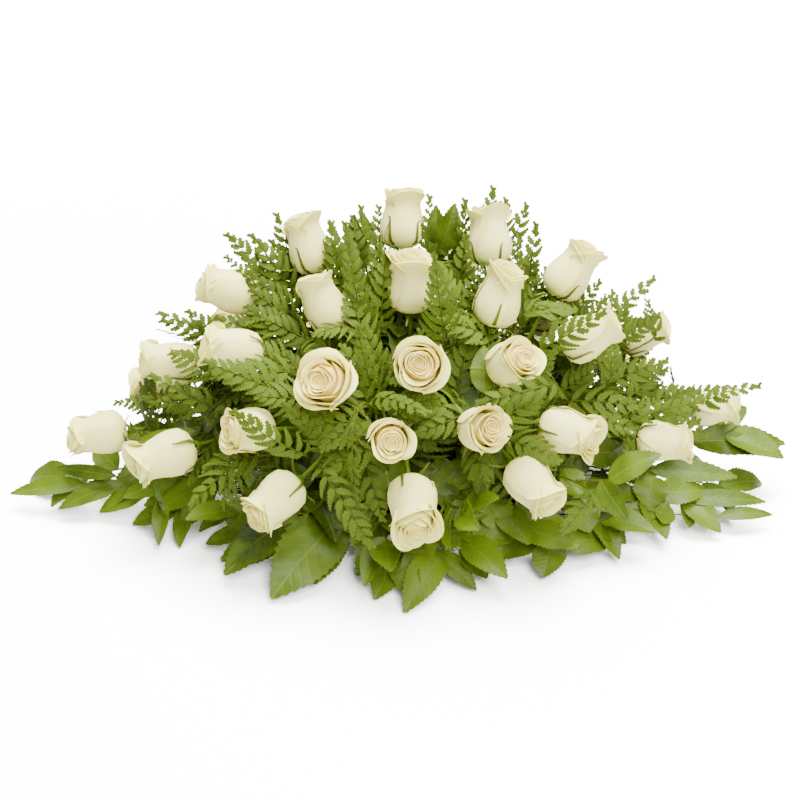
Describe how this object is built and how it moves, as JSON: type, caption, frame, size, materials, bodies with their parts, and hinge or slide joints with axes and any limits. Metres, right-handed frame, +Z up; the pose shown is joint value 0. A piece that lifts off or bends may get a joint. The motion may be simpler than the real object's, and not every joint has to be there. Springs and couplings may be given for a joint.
{
  "type": "casket spray",
  "caption": "Oval casket spray of white roses with fern fronds and broad serrated leaves, held in a foam block in a low black tray that rests on a lid.",
  "frame": {"origin": "middle of the tray's underside, on the surface that the spray rests on", "axes": "+X along the spray's length, towards the right seen from its front, -Y towards its front, +Z up"},
  "size_m": [0.811, 0.4369, 0.328],
  "materials": {
    "tray_plastic": "satin black",
    "floral_foam": "matte, wet, dark green",
    "rose_petal": "soft, ivory white",
    "rose_green": "satin mid green",
    "leaf_green": "slightly glossy green",
    "fern_green": "satin yellow green"
  },
  "bodies": {
    "root": {"tray": "tray_plastic", "foam": "floral_foam", "rose_01_bloom": "rose_petal", "rose_02_bloom": "rose_petal", "rose_03_bloom": "rose_petal", "rose_04_bloom": "rose_petal", "rose_05_bloom": "rose_petal", "rose_06_bloom": "rose_petal", "rose_07_bloom": "rose_petal", "rose_08_bloom": "rose_petal", "rose_09_bloom": "rose_petal", "rose_10_bloom": "rose_petal", "rose_11_bloom": "rose_petal", "rose_12_bloom": "rose_petal", "rose_13_bloom": "rose_petal", "rose_14_bloom": "rose_petal", "rose_15_bloom": "rose_petal", "rose_16_bloom": "rose_petal", "rose_17_bloom": "rose_petal", "rose_18_bloom": "rose_petal", "rose_19_bloom": "rose_petal", "rose_20_bloom": "rose_petal", "rose_21_bloom": "rose_petal", "rose_22_bloom": "rose_petal", "rose_23_bloom": "rose_petal", "rose_24_bloom": "rose_petal", "rose_25_bloom": "rose_petal", "rose_26_bloom": "rose_petal", "rose_27_bloom": "rose_petal", "rose_28_bloom": "rose_petal", "rose_29_bloom": "rose_petal", "rose_30_bloom": "rose_petal", "rose_31_bloom": "rose_petal", "rose_32_bloom": "rose_petal", "rose_33_bloom": "rose_petal", "rose_34_bloom": "rose_petal", "rose_35_bloom": "rose_petal", "rose_36_bloom": "rose_petal", "rose_stems_left": "rose_green", "rose_stems_left_middle": "rose_green", "rose_stems_middle": "rose_green", "rose_stems_front": "rose_green", "rose_stems_right_middle": "rose_green", "rose_stems_right": "rose_green", "leafy_stems_left": "leaf_green", "leafy_stems_front_left": "leaf_green", "leafy_stems_front": "leaf_green", "leafy_stems_front_right": "leaf_green", "leafy_stems_right_front": "leaf_green", "leafy_stems_right": "leaf_green", "leafy_stems_back_left": "leaf_green", "leafy_stems_back_right": "leaf_green", "leafy_stems_top": "leaf_green", "fern_left_back": "fern_green", "fern_left": "fern_green", "fern_left_front": "fern_green", "fern_middle": "fern_green", "fern_front": "fern_green", "fern_right_front": "fern_green", "fern_right_back": "fern_green"}
  },
  "joints": []
}
